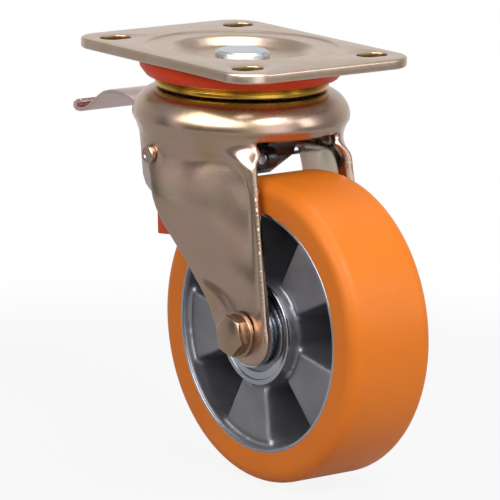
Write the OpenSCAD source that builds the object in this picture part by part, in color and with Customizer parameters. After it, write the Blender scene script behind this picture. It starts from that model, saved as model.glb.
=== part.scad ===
// Swivel castor with top plate, pressed fork, pedal brake and polyurethane wheel.
// Origin: centre of the top plate's upper face, on the swivel axis. The castor hangs in -Z,
// the wheel trails toward +X, the axle lies along Y and the pedal points to -X.

/* [Top plate] */
// Length of the plate along X
plate_x = 140; // [130:1:160]
// Width of the plate along Y
plate_y = 110; // [104:1:130]
// Thickness of the plate
plate_t = 5; // [4:0.5:6]
// Radius of the plate's corners
plate_corner_r = 16; // [8:1:20]
// Distance between the slots along X
hole_dx = 105; // [100:1:110]
// Distance between the slots along Y
hole_dy = 77.5; // [74:0.5:84]
// Width of a slot
slot_w = 11; // [9:0.5:13]
// Length of a slot from end to end, along Y
slot_len = 16.5; // [14:0.5:18]
// Radius of the flat floor of the pressed dish
dish_floor_r = 29; // [27:0.5:30]
// Depth of the dish below the plate's upper face
dish_depth = 5; // [3:0.5:6]
// Radius of the shallow ring pressed round the dish
ring_r = 47.5; // [46:0.5:50]
// Depth of that ring
ring_depth = 0.7; // [0.4:0.1:1.2]

/* [Kingpin and swivel bearing] */
// Diameter of the kingpin
pin_d = 16; // [14:0.5:18]
// Diameter of the kingpin's head
pin_head_d = 27; // [24:0.5:32]
// Height of the kingpin's head
pin_head_h = 3.2; // [2:0.2:4]
// Width across flats of the kingpin's nut
pin_nut_af = 24; // [22:1:27]
// Height of the kingpin's nut
pin_nut_h = 6.5; // [5:0.5:7]
// Diameter of the upper balls
upper_ball_d = 9.5; // [8:0.5:10]
// Radius of the circle of the upper balls
upper_circle_r = 31; // [29:0.5:32]
// Number of the upper balls
upper_ball_n = 19; // [12:1:19]
// Diameter of the lower balls
lower_ball_d = 6; // [5:0.5:6.5]
// Radius of the circle of the lower balls
lower_circle_r = 18; // [17:0.5:20]
// Number of the lower balls
lower_ball_n = 17; // [10:1:17]
// Outer radius of the upper bearing cup
cup_r = 46; // [45:0.5:47]
// Radius of the cup's lower edge
cup_lip_r = 40; // [39:0.5:41]
// Outer radius of the dust seal
seal_r = 50.6; // [49:0.2:52]
// Height of the dust seal
seal_h = 9; // [7:0.5:9.5]
// Outer radius of the lock disc under the head
lock_disc_r = 33; // [31:0.5:35]
// Number of slots in the lock disc
lock_slot_n = 12; // [8:4:12]

/* [Fork] */
// Radius of the fork's head at its widest
head_r = 54; // [53:0.5:56]
// Radius of the head's shoulder
shoulder_r = 13.5; // [11:0.5:14]
// Thickness of the pressed steel
fork_t = 5; // [4:0.5:5.5]
// Height of the skirt below the shoulder
skirt_h = 5.2; // [4:0.2:6]
// Distance from the swivel axis back to the axle
trail = 46.5; // [43:0.5:50]
// Distance from the plate's upper face down to the top of the wheel
wheel_drop = 56.8; // [55:0.2:63]
// Clear width between the legs at the axle
fork_gap = 60; // [60:1:64]
// Radius of the rounded lower end of a leg
leg_end_r = 21; // [18:0.5:22]
// Radius of the rounded edges of a leg
leg_edge_r = 1.6; // [1:0.2:2]

/* [Axle] */
// Diameter of the axle bolt
bolt_d = 12; // [10:0.5:13]
// Width across flats of the bolt's head and nut
bolt_af = 18; // [17:0.5:20]
// Height of the bolt's head
bolt_head_h = 5.5; // [4.5:0.5:7]
// Thickness of the axle's washers
washer_t = 2; // [1.5:0.5:2.5]
// Outer diameter of the axle tube
tube_d = 20; // [18:0.5:21]
// Outer radius of the spacer rings between leg and bearing
spacer_r = 17; // [15:0.5:18]

/* [Wheel] */
// Radius of the wheel over the tyre
wheel_r = 75; // [73:0.5:76]
// Width of the tyre
tyre_w = 50; // [46:0.5:50]
// Radius of the tyre's corners
tyre_corner_r = 7; // [4:0.5:8]
// Thickness of the tyre over the wheel centre
tyre_t = 15.5; // [13:0.5:17]
// Number of raised web sectors on each side
sector_n = 5; // [4:1:6]
// Depth of the web sectors below the tyre's side
sector_depth = 3.5; // [2:0.5:6]
// Thickness of the web
web_t = 4.5; // [3.5:0.5:6]
// Outer radius of the hub
hub_r = 26; // [25.5:0.5:28]
// Width of the hub
hub_w = 52; // [51:0.5:54]
// Outer radius of the wheel bearings
bearing_r = 23.5; // [22.5:0.5:24]
// Width of the wheel bearings
bearing_w = 14; // [12:0.5:15]
// Diameter of the balls in the wheel bearings
bearing_ball_d = 7.9; // [7:0.1:8]
// Number of balls in one wheel bearing
bearing_ball_n = 8; // [6:1:9]

/* [Brake] */
// Distance from the swivel axis to the brake's pivot, toward the pedal
pivot_x = 8.5; // [8:0.5:10]
// Distance from the plate's upper face down to the brake's pivot
pivot_drop = 50.5; // [50:0.5:52]
// Diameter of the pivot bolt
pivot_d = 8; // [7:0.5:9]
// Thickness of the lever's sheet steel
lever_t = 2; // [1.5:0.25:2.5]
// Width of the pedal
pedal_w = 40; // [30:1:44]
// Length of the pedal behind the wheel
pedal_l = 83; // [78:1:92]
// Width of the lever behind the wheel
lever_w = 46; // [42:1:48]
// Width of the brake block
block_w = 44; // [36:1:46]
// Gap between the brake block and the tyre when the brake is off
block_gap = 6.6; // [6.6:0.2:8]
// Angle that the lever turns through
brake_throw = 7; // [5:0.5:7]

/* [Hidden] */
fine = 96;
mid = 48;
small = 24;

// Clearances between pieces
run_gap = 0.05;
slide_gap = 0.1;
seat_gap = 0.02;
air_gap = 0.8;
ball_gap = 0.06;

// Heights of the swivel bearing, from the plate down
dish_wall = dish_depth * 1.2;
dish_rim_r = dish_floor_r + dish_wall;
dish_bottom = -dish_depth - plate_t;
upper_ball_z = dish_bottom - 2.4 - upper_ball_d / 2;
head_top = upper_ball_z - upper_ball_d / 2 + 1.6;
head_plate_t = fork_t;
head_under = head_top - head_plate_t;
lower_ball_z = head_under - lower_ball_d / 2 + 1.2;
lower_cup_t = 4.5;
lower_cup_top = lower_ball_z - 1.2;
lower_cup_bottom = lower_cup_top - lower_cup_t;
lock_disc_t = 2.5;
lock_disc_bottom = lower_cup_bottom - lock_disc_t;
pin_end = lock_disc_bottom - pin_nut_h - 0.8;
cup_wall = 2.6;
cup_lip_z = head_top + air_gap;
cup_shoulder_z = cup_lip_z + 5.2;
seal_chamfer = 4.6;

// Head and skirt of the fork
shoulder_c = head_r - shoulder_r;
shoulder_z = head_top - shoulder_r;
crease_r = head_r - 2;
crease_z = shoulder_z - 2.5;
skirt_z = shoulder_z - skirt_h;
skirt_t = fork_t - 0.6;
shoulder_steps = 8;

// Legs: the outline's middle line runs from under the head to the axle
axle_z = -wheel_drop - wheel_r;
leg_start_z = crease_z + 0.9;
leg_flat_z = skirt_z - 8;
leg_line_z = -8;
leg_end_z = axle_z + 6.2;
leg_half_top = 29.5;
leg_half_low = leg_end_r;
leg_bulge = 1.5;
flare_z = skirt_z - 18.7;
flare_x = 12.8;
leg_circle_r = crease_r - 0.8;
leg_out = fork_gap / 2 + fork_t;
front_y_top = 31;
leg_bow = 1.6;
twist_top_z = axle_z + 66;
twist_low_z = axle_z + bolt_d + 0.5;
leg_levels = 22;
end_levels = 6;
edge_steps = 2;
side_steps = 9;

// Axle
washer_r = bolt_d * 0.95;
nut_h = bolt_af * 0.55;
thread_over = 2;
head_turn = 13;

// Wheel and hub
rim_r = wheel_r - tyre_t;
hub_half = hub_w / 2;
bearing_face = hub_half - 0.5;
bearing_back = bearing_face - bearing_w;
ring_in_r = tube_d / 2 + seat_gap;
ring_in_out_r = ring_in_r + 4.2;
ring_out_in_r = bearing_r - 4;
race_mid_r = (ring_in_out_r + ring_out_in_r) / 2;
bearing_mid = bearing_face - bearing_w / 2;
sector_face = tyre_w / 2 - sector_depth;
rim_ring_w = 2;
trough_w = 2.2;
trough_depth = 2.4;
sector_out_r = rim_r - rim_ring_w - trough_w;
sector_in_r = hub_r + 3;
sector_angle = 360 / sector_n;
first_sector = -100;

// Brake
pivot_z = -pivot_drop;
sleeve_r = pivot_d / 2 + 1.75;
boss_r = pivot_d / 2 + 1.4;
boss_out = 51.6;
boss_t = fork_t + 1.2;
sleeve_half = boss_out - boss_t;
pivot_head_r = pivot_d * 0.58;
pivot_head_h = pivot_d * 0.22;
pivot_nut_h = pivot_d * 0.7;
lock_tooth_x = 27;
lock_tooth_w = 8;
lock_tooth_l = 8;
lock_tooth_z = pivot_z + 12.4;
lock_slot_w = 11;
arm_w = 17;
arm_y = 0.5;
arm_near_y = arm_y - arm_w / 2;
eye_near_y = arm_near_y - 4.5;
eye_root_y = arm_near_y + 1;
eye_r = 5.3;
eye_pin_r = eye_r - 2;
eye_x = 33;
eye_z = pivot_z + 1;
arm_front_x = 32;
arm_low_z = pivot_z - 11.5;
rear_x = trail - wheel_r;
tip_x = rear_x - pedal_l;
flange_z = pivot_z - 27;
block_back_x = rear_x - 10;
block_top_z = flange_z - lever_t / 2 - 0.05;
block_bottom_z = block_top_z - block_w * 0.45;
rivet_x = block_back_x + 5.5;
rivet_r = 3.5;
spring_wire = 2;
spring_coil_r = sleeve_r + 0.9 + spring_wire / 2;
spring_turns = 3;
spring_low_y = lever_w / 2 + 2.6;
spring_pitch = 2.5;
spring_start_angle = 244;
spring_end_angle = 208;
spring_hook_l = 10.5;
spring_tail_l = 6.4;
spring_hook_r = sqrt(spring_coil_r * spring_coil_r + spring_hook_l * spring_hook_l);
spring_hook_angle = spring_start_angle - atan(spring_hook_l / spring_coil_r);
spring_play = 0.3;
hook_hole_r = spring_wire / 2 + spring_play + spring_hook_r * sin(brake_throw);
spring_sides = 8;
spring_turn_steps = 20;
spring_sweep = 360 * spring_turns + spring_end_angle - spring_start_angle;
spring_high_y = spring_low_y + spring_pitch * spring_sweep / 360;
spring_steps = spring_turn_steps * spring_sweep / 360;
cheek_y = lever_w / 2;

function lerp(a, b, t) = a + (b - a) * t;
function clamp01(t) = min(1, max(0, t));
function smooth(t) = clamp01(t) * clamp01(t) * (3 - 2 * clamp01(t));
function polar(r, a) = [r * cos(a), r * sin(a)];

// Leg outline seen from the side: middle line, half width and both edges at height z
function leg_mid(z) = trail * (z - leg_line_z) / (axle_z - leg_line_z);
function leg_frac(z) = (z - flare_z) / (leg_end_z - flare_z);
function leg_half_side(z) =
    lerp(leg_half_top, leg_half_low, leg_frac(z))
    + leg_bulge * 4 * clamp01(leg_frac(z)) * (1 - clamp01(leg_frac(z)));
function leg_half(z) =
    z > leg_end_z ? leg_half_side(z) : sqrt(max(1, leg_end_r * leg_end_r - pow(leg_end_z - z, 2)));
function leg_flare(z) = flare_x * pow(max(0, (z - flare_z) / (leg_start_z - flare_z)), 2);
function leg_rear_x(z) = leg_mid(z) - leg_half(z) - leg_flare(z);
function leg_front_x(z) = leg_mid(z) + leg_half(z);

// Leg surface seen from above: from the head's circle to a bowed strip, flat at the axle
function circle_y(x) = sqrt(max(1, pow(leg_circle_r, 2) - x * x));
function leg_twist(z) = smooth((twist_top_z - z) / (twist_top_z - twist_low_z));
function rear_y(z) = lerp(circle_y(leg_rear_x(max(z, twist_top_z))), leg_out, leg_twist(z));
function front_y(z) =
    lerp(front_y_top, leg_out, smooth((leg_flat_z - 6 - z) / (leg_flat_z - 6 - twist_low_z)));
function strip_y(s, z) =
    lerp(rear_y(z), front_y(z), s) + leg_bow * 4 * s * (1 - s) * (1 - leg_twist(z));
function leg_x(s, z) = lerp(leg_rear_x(z), leg_front_x(z), s);
function leg_y(s, z) =
    lerp(circle_y(leg_x(s, z)), strip_y(s, z), smooth((skirt_z + 1 - z) / (skirt_z + 1 - leg_flat_z)));
function leg_point(s, z) = [leg_x(s, z), -leg_y(s, z)];
function leg_normal(s, z) =
    let (d = leg_point(min(1, s + 0.02), z) - leg_point(max(0, s - 0.02), z)) [-d[1], d[0]] / norm(d);

// Section of a leg: a strip with rounded edges, as [place along it, depth into it]
function strip_corner(a, b, from) =
    [for (i = [0:edge_steps]) [a, b] + polar(leg_edge_r, from + 90 * i / edge_steps)];
function strip_section(len) = concat(
    strip_corner(leg_edge_r, leg_edge_r, 180),
    [for (i = [1:side_steps - 1]) [lerp(leg_edge_r, len - leg_edge_r, i / side_steps), 0]],
    strip_corner(len - leg_edge_r, leg_edge_r, 270),
    strip_corner(len - leg_edge_r, fork_t - leg_edge_r, 0),
    [for (i = [1:side_steps - 1]) [lerp(len - leg_edge_r, leg_edge_r, i / side_steps), fork_t]],
    strip_corner(leg_edge_r, fork_t - leg_edge_r, 90)
);
function leg_ring(z) =
    let (len = 2 * leg_half(z) + leg_flare(z))
    [for (p = strip_section(len))
        let (s = p[0] / len, at = leg_point(s, z) + leg_normal(s, z) * p[1]) [at[0], at[1], z]];
function leg_heights() = concat(
    [for (i = [0:leg_levels]) lerp(leg_start_z, leg_end_z, i / leg_levels)],
    [for (i = [1:end_levels]) leg_end_z - leg_end_r * sin(84 * i / end_levels)]
);

// Closed skin through rings of equally many points, from the first ring down to the last
module skin(rings) {
    n = len(rings[0]);
    m = len(rings);
    points = [for (ring = rings) for (p = ring) p];
    sides = [for (k = [0:m - 2]) for (i = [0:n - 1]) each [
        [k * n + i, k * n + (i + 1) % n, (k + 1) * n + i],
        [k * n + (i + 1) % n, (k + 1) * n + (i + 1) % n, (k + 1) * n + i]
    ]];
    first = [[for (i = [n - 1:-1:0]) i]];
    last = [[for (i = [0:n - 1]) (m - 1) * n + i]];
    polyhedron(points = points, faces = concat(sides, first, last), convexity = 6);
}

module steel_gold() { color("#b9a77f") children(); }
module steel_pale() { color("#c9d2da") children(); }
module steel_bearing() { color("#aeb3b8") children(); }

// Cylinder along Y between two places
module y_cylinder(r, from, to, fn = mid) {
    translate([0, from, 0]) rotate([-90, 0, 0]) cylinder(r = r, h = to - from, $fn = fn);
}

// Ring along Y between two places
module y_ring(r_out, r_in, from, to) {
    difference() {
        y_cylinder(r_out, from, to, fine);
        y_cylinder(r_in, from - 1, to + 1, fine);
    }
}

// Profile turned about the Y axis: its first number is the radius, its second the place along Y
module y_turn() {
    rotate([-90, 0, 0]) rotate_extrude($fn = fine) children();
}

module z_turn() {
    rotate_extrude($fn = fine) children();
}

module at_axle() {
    translate([trail, 0, axle_z]) children();
}

module at_pivot() {
    translate([-pivot_x, 0, pivot_z]) children();
}

module both_sides() {
    children();
    mirror([0, 1, 0]) children();
}

module hexagon(af, h) {
    cylinder(d = af / cos(30), h = h, $fn = 6);
}

// Hexagon head with a chamfered outer face at z = h
module hex_head(af, h) {
    chamfer = af * 0.06;
    intersection() {
        hexagon(af, h);
        union() {
            cylinder(d = af * 1.2, h = h - chamfer, $fn = mid);
            translate([0, 0, h - chamfer]) cylinder(d1 = af * 1.2, d2 = af * 0.95, h = chamfer, $fn = mid);
        }
    }
}

module slot_shape(w, length) {
    square([w, length - w], center = true);
    for (side = [-1, 1]) translate([0, side * (length - w) / 2]) circle(d = w, $fn = mid);
}

module plate_outline() {
    dx = plate_x / 2 - plate_corner_r;
    dy = plate_y / 2 - plate_corner_r;
    square([plate_x, 2 * dy], center = true);
    square([2 * dx, plate_y], center = true);
    for (sx = [-1, 1]) for (sy = [-1, 1])
        translate([sx * dx, sy * dy]) circle(r = plate_corner_r, $fn = fine);
}

module top_plate() {
    slant = plate_t * 0.35;
    steel_gold() difference() {
        union() {
            translate([0, 0, -plate_t]) linear_extrude(plate_t) plate_outline();
            z_turn() polygon([
                [0, -plate_t + 0.5], [0, dish_bottom], [dish_floor_r + slant, dish_bottom],
                [dish_rim_r + slant, -plate_t], [dish_rim_r + slant, -plate_t + 0.5]
            ]);
        }
        z_turn() polygon([
            [0, 1], [ring_r + 1, 1], [ring_r, -ring_depth], [dish_rim_r, -ring_depth],
            [dish_floor_r, -dish_depth], [0, -dish_depth]
        ]);
        for (sx = [-1, 1]) for (sy = [-1, 1])
            translate([sx * hole_dx / 2, sy * hole_dy / 2, -plate_t - 1])
                linear_extrude(plate_t + 2) slot_shape(slot_w, slot_len);
        translate([0, 0, dish_bottom - 1]) cylinder(r = pin_d / 2 + seat_gap, h = plate_t + 3, $fn = mid);
    }
}

module kingpin() {
    chamfer = 0.8;
    head_r_top = pin_head_d / 2;
    steel_pale() z_turn() polygon([
        [0, -dish_depth + pin_head_h], [head_r_top - chamfer * 1.6, -dish_depth + pin_head_h],
        [head_r_top, -dish_depth + pin_head_h - chamfer], [head_r_top, -dish_depth],
        [pin_d / 2, -dish_depth], [pin_d / 2, pin_end + chamfer], [pin_d / 2 - chamfer, pin_end], [0, pin_end]
    ]);
}

module kingpin_nut() {
    steel_pale() difference() {
        translate([0, 0, lock_disc_bottom]) rotate([180, 0, 0]) hex_head(pin_nut_af, pin_nut_h);
        translate([0, 0, pin_end - 1]) cylinder(r = pin_d / 2 + seat_gap, h = pin_nut_h + 4, $fn = mid);
    }
}

// Torus that a ring of balls runs in
module ball_track(circle_r, ball_r, z) {
    translate([0, 0, z]) z_turn() translate([circle_r, 0]) circle(r = ball_r + ball_gap, $fn = small);
}

module upper_cup() {
    inner = upper_circle_r - upper_ball_d / 2 - 2;
    under = upper_ball_z + upper_ball_d / 2 - 3;
    steel_gold() difference() {
        z_turn() polygon([
            [inner, dish_bottom], [dish_floor_r + 1, dish_bottom], [cup_lip_r - 1.5, dish_bottom],
            [cup_r - cup_wall, dish_bottom + 2], [cup_r - cup_wall, -plate_t], [cup_r, -plate_t],
            [cup_r, cup_shoulder_z], [cup_lip_r, cup_lip_z], [cup_lip_r - cup_wall, cup_lip_z],
            [cup_lip_r - cup_wall, under], [inner, under]
        ]);
        ball_track(upper_circle_r, upper_ball_d / 2, upper_ball_z);
    }
}

module dust_seal() {
    inner = cup_r + slide_gap;
    color("#e8592b") z_turn() polygon([
        [inner, -plate_t], [seal_r, -plate_t], [seal_r, -plate_t - seal_h + seal_chamfer],
        [seal_r - 0.7, -plate_t - seal_h + seal_chamfer / 2.2],
        [seal_r - 2, -plate_t - seal_h + seal_chamfer / 6],
        [seal_r - 3.4, -plate_t - seal_h], [inner, -plate_t - seal_h]
    ]);
}

module lower_cup() {
    outer = lower_circle_r + lower_ball_d / 2 + 2;
    steel_bearing() difference() {
        translate([0, 0, lower_cup_bottom]) cylinder(r = outer, h = lower_cup_t, $fn = fine);
        translate([0, 0, lower_cup_bottom - 1])
            cylinder(r = pin_d / 2 + seat_gap, h = lower_cup_t + 2, $fn = mid);
        ball_track(lower_circle_r, lower_ball_d / 2, lower_ball_z);
    }
}

module lock_disc() {
    steel_pale() difference() {
        translate([0, 0, lock_disc_bottom]) cylinder(r = lock_disc_r, h = lock_disc_t, $fn = fine);
        translate([0, 0, lock_disc_bottom - 1])
            cylinder(r = pin_d / 2 + seat_gap, h = lock_disc_t + 2, $fn = mid);
        for (i = [0:lock_slot_n - 1]) rotate([0, 0, 360 / lock_slot_n * i])
            translate([lock_tooth_x - 6, -lock_slot_w / 2, lock_disc_bottom - 1])
                cube([lock_disc_r, lock_slot_w, lock_disc_t + 2]);
    }
}

module balls(ball_d, circle_r, count, z) {
    for (i = [0:count - 1]) rotate([0, 0, 360 / count * i])
        translate([circle_r, 0, z]) sphere(d = ball_d, $fn = small);
}

module upper_balls() {
    steel_bearing() balls(upper_ball_d, upper_circle_r, upper_ball_n, upper_ball_z);
}

module lower_balls() {
    steel_bearing() balls(lower_ball_d, lower_circle_r, lower_ball_n, lower_ball_z);
}

// Points of the shoulder's arc at radius r, from the crown to the widest place
function shoulder_arc(r) =
    [for (i = [0:shoulder_steps]) [shoulder_c, shoulder_z] + polar(r, 90 - 90 * i / shoulder_steps)];

// Section of the head: flat crown, round shoulder, crease and short skirt
module head_shape() {
    bore_r = pin_d / 2 + run_gap;
    inner = shoulder_arc(shoulder_r - fork_t);
    polygon(concat(
        [[bore_r, head_top]],
        shoulder_arc(shoulder_r),
        [
            [head_r - 0.5, crease_z + 1], [crease_r, crease_z], [crease_r, skirt_z + 0.6],
            [crease_r - 0.6, skirt_z], [crease_r - skirt_t, skirt_z], [crease_r - skirt_t, crease_z]
        ],
        [for (i = [shoulder_steps:-1:0]) inner[i]],
        [[bore_r, head_under]]
    ));
}

module leg() {
    difference() {
        union() {
            skin([for (z = leg_heights()) leg_ring(z)]);
            at_pivot() y_cylinder(boss_r, -boss_out, -sleeve_half);
        }
        at_axle() y_cylinder(bolt_d / 2 + slide_gap, -leg_out - 2, 0);
        at_pivot() {
            y_cylinder(pivot_d / 2 + slide_gap, -boss_out - 2, 0);
            y_cylinder(sleeve_r + slide_gap, -sleeve_half, 0);
        }
    }
}

module fork() {
    steel_gold() difference() {
        union() {
            z_turn() head_shape();
            both_sides() leg();
        }
        ball_track(upper_circle_r, upper_ball_d / 2, upper_ball_z);
        ball_track(lower_circle_r, lower_ball_d / 2, lower_ball_z);
    }
}

module axle_bolt() {
    steel_gold() at_axle() {
        rotate([90, head_turn, 0]) translate([0, 0, leg_out + washer_t]) hex_head(bolt_af, bolt_head_h);
        y_cylinder(bolt_d / 2, -leg_out - washer_t - 0.5, leg_out + washer_t + nut_h + thread_over);
    }
}

module axle_washer() {
    steel_gold() at_axle() both_sides() y_ring(washer_r, bolt_d / 2 + slide_gap, leg_out, leg_out + washer_t);
}

module axle_nut() {
    steel_gold() at_axle() difference() {
        translate([0, leg_out + washer_t, 0]) rotate([-90, 0, 0]) hex_head(bolt_af, nut_h);
        y_cylinder(bolt_d / 2 + seat_gap, leg_out, leg_out + 2 * bolt_af);
    }
}

module axle_tube() {
    steel_pale() at_axle() y_ring(tube_d / 2, bolt_d / 2 + slide_gap, -fork_gap / 2, fork_gap / 2);
}

module spacer_rings() {
    rim = 1.6;
    steel_pale() at_axle() both_sides() difference() {
        union() {
            y_cylinder(ring_in_out_r - 1, -fork_gap / 2, -bearing_face);
            y_cylinder(spacer_r, -fork_gap / 2, -bearing_face - rim, fine);
        }
        y_cylinder(tube_d / 2 + seat_gap, -fork_gap / 2 - 1, -bearing_face + 1);
    }
}

module bearing_track() {
    translate([0, -bearing_mid, 0]) y_turn() translate([race_mid_r, 0])
        circle(d = bearing_ball_d + 2 * ball_gap, $fn = small);
}

module bearing_inner_rings() {
    steel_bearing() at_axle() both_sides() difference() {
        y_ring(ring_in_out_r, ring_in_r, -bearing_face, -bearing_back);
        bearing_track();
    }
}

module bearing_outer_rings() {
    steel_bearing() at_axle() both_sides() difference() {
        y_ring(bearing_r, ring_out_in_r, -bearing_face, -bearing_back);
        bearing_track();
    }
}

module bearing_balls() {
    steel_bearing() at_axle() both_sides() for (i = [0:bearing_ball_n - 1])
        rotate([0, 360 / bearing_ball_n * i, 0]) translate([race_mid_r, -bearing_mid, 0])
            sphere(d = bearing_ball_d, $fn = small);
}

module bearing_shields() {
    color("#8d9299") at_axle() both_sides()
        y_ring(ring_out_in_r - 0.02, ring_in_out_r + 0.4, -bearing_face + 0.6, -bearing_face + 1.4);
}

module distance_sleeve() {
    steel_pale() at_axle() y_ring(ring_in_r + 2.5, ring_in_r, -bearing_back, bearing_back);
}

module tyre() {
    inner = rim_r;
    half = tyre_w / 2;
    color("#ef8226") at_axle() y_turn() difference() {
        union() {
            translate([inner, -half]) square([wheel_r - tyre_corner_r - inner, tyre_w]);
            translate([inner, -half + tyre_corner_r]) square([wheel_r - inner, tyre_w - 2 * tyre_corner_r]);
            for (side = [-1, 1]) translate([wheel_r - tyre_corner_r, side * (half - tyre_corner_r)])
                circle(r = tyre_corner_r, $fn = mid);
        }
        translate([0, -half - 1]) square([inner, tyre_w + 2]);
    }
}

// Half of the wheel centre's section, mirrored for the other side
module centre_shape() {
    half = tyre_w / 2;
    trough_y = sector_face - trough_depth;
    ring_r_in = rim_r - rim_ring_w;
    polygon([
        [hub_r - 6, -1], [hub_r - 6, hub_half], [hub_r - 0.6, hub_half], [hub_r, hub_half - 0.6],
        [hub_r + 0.6, trough_y], [sector_in_r - 0.8, trough_y], [sector_in_r, sector_face],
        [sector_out_r - 0.5, sector_face], [sector_out_r + 0.3, trough_y], [ring_r_in - 0.6, trough_y],
        [ring_r_in, half - 0.8], [ring_r_in + 0.8, half], [rim_r, half], [rim_r, -1]
    ]);
}

// Space between two raised sectors. Its walls lean in, so that the folded web keeps its thickness.
module pocket(angle) {
    floor_y = sector_face - web_t;
    lean = web_t / (2 * sector_face);
    half = sector_angle / 4;
    in_r = hub_r + 1;
    out_r = rim_r - rim_ring_w - 0.6;
    rotate([0, -angle, 0]) intersection() {
        y_turn() polygon([
            [in_r, -tyre_w], [out_r, -tyre_w], [out_r, -sector_face], [out_r - 1.5, floor_y],
            [in_r + 1.5, floor_y], [in_r, -sector_face]
        ]);
        skin([for (y = [-tyre_w, floor_y])
            let (wall = (y + sector_face) * lean)
            [for (p = [[in_r * 0.8, -1], [rim_r * 1.1, -1], [rim_r * 1.1, 1], [in_r * 0.8, 1]])
                [p[0], y, p[1] * (p[0] * tan(half) - wall / cos(half))]]]);
    }
}

module wheel_centre() {
    color("#7d8288") at_axle() difference() {
        union() {
            y_turn() centre_shape();
            mirror([0, 1, 0]) y_turn() centre_shape();
        }
        for (i = [0:sector_n - 1]) {
            pocket(first_sector + sector_angle * (i + 0.5));
            mirror([0, 1, 0]) pocket(first_sector + sector_angle * i);
        }
        y_cylinder(hub_r - 5.9, -hub_half, hub_half, fine);
        both_sides() y_cylinder(bearing_r + seat_gap, -hub_half - 1, -bearing_back, fine);
    }
}

module pivot_bolt() {
    top = -boss_out - pivot_head_h;
    pivot_end = boss_out + pivot_nut_h + thread_over;
    steel_pale() at_pivot() {
        y_turn() polygon([
            [0, top], [pivot_head_r * 0.6, top], [pivot_head_r * 0.9, top + pivot_head_h * 0.25],
            [pivot_head_r, top + pivot_head_h * 0.7], [pivot_head_r, -boss_out], [pivot_d / 2, -boss_out],
            [pivot_d / 2, pivot_end], [0, pivot_end]
        ]);
    }
}

module pivot_nut() {
    steel_pale() at_pivot() difference() {
        translate([0, boss_out, 0]) rotate([-90, 0, 0]) hex_head(pivot_d * 1.45, pivot_nut_h);
        y_cylinder(pivot_d / 2 + seat_gap, boss_out - 1, boss_out + 2 * pivot_d);
    }
}

module pivot_sleeve() {
    steel_pale() at_pivot() y_ring(sleeve_r, pivot_d / 2 + slide_gap, -sleeve_half, sleeve_half);
}

// Middle line of the lever's sheet seen from the side, as places from the pedal's tip, then from the
// wheel's rear, down to the flange over the block
pedal_bend = [
    [5.9, 8.9], [2.7, 8.1], [0.3, 6.6], [0, 5.1], [1.9, 4.1], [5.1, 4.1], [9.4, 5.2], [13.1, 7.2],
    [17.2, 10.4], [21.1, 13.4], [25, 15.7], [30.3, 17.2], [35.5, 17.7], [40.7, 17.3]
];
lever_bend = [
    [-35, 15.9], [-29.5, 12.6], [-25.5, 8.2], [-23, 2.5], [-21.6, -4], [-20.5, -12], [-19.3, -19],
    [-17, -23.2], [-13.2, -25.8], [-8.5, -27], [1.5, -27]
];
function lever_line() = concat(
    [for (p = pedal_bend) [tip_x + p[0], pivot_z + p[1]]],
    [for (p = lever_bend) [rear_x + p[0], pivot_z + p[1]]]
);

function line_normal(line, i) =
    let (a = line[max(0, i - 1)], b = line[min(len(line) - 1, i + 1)], d = b - a) [-d[1], d[0]] / norm(d);

// Flat outline of a sheet of thickness t along part of a line
module sheet_outline(line, t, first, last) {
    polygon(concat(
        [for (i = [first:last]) line[i] + line_normal(line, i) * t / 2],
        [for (i = [last:-1:first]) line[i] - line_normal(line, i) * t / 2]
    ));
}

// Shape in the XZ plane, thickened along Y from one place to another
module side_extrude(from, to) {
    translate([0, to, 0]) rotate([90, 0, 0]) linear_extrude(to - from) children();
}

module brake_lever() {
    line = lever_line();
    bend = len(pedal_bend) + 2;
    last = len(line) - 1;
    steel_pale() difference() {
        union() {
            side_extrude(-pedal_w / 2, pedal_w / 2) sheet_outline(line, lever_t, 0, bend);
            side_extrude(-lever_w / 2, lever_w / 2) sheet_outline(line, lever_t, bend - 1, last);
            both_sides() side_extrude(-cheek_y, -cheek_y + lever_t) {
                polygon(concat(
                    [for (i = [bend:last]) line[i]],
                    [[-pivot_x + 5, pivot_z - sleeve_r - 1], [-pivot_x + 4, pivot_z + sleeve_r]]
                ));
                at_pivot_flat() circle(r = sleeve_r + 2.2, $fn = mid);
            }
        }
        at_pivot() {
            y_cylinder(sleeve_r + run_gap, -lever_w, lever_w);
            rotate([0, -spring_hook_angle, 0]) translate([spring_hook_r, 0, 0])
                y_cylinder(hook_hole_r, 0, lever_w, small);
        }
    }
}

module at_pivot_flat() {
    translate([-pivot_x, pivot_z]) children();
}

module brake_block() {
    drop = block_top_z - block_bottom_z;
    color("#b3231d") side_extrude(-block_w / 2, block_w / 2) difference() {
        polygon([
            [block_back_x, block_top_z], [block_back_x + drop * 0.07, block_bottom_z],
            [block_back_x + 14, block_bottom_z + 1.5], [-pivot_x, block_bottom_z + 6],
            [-pivot_x, block_top_z]
        ]);
        translate([trail, axle_z]) circle(r = wheel_r + block_gap, $fn = fine);
    }
}

module block_rivets() {
    steel_pale() for (side = [-1, 1]) translate([rivet_x, side * block_w / 4, flange_z + lever_t / 2])
        cylinder(r1 = rivet_r, r2 = rivet_r * 0.6, h = rivet_r * 0.45, $fn = small);
}

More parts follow.
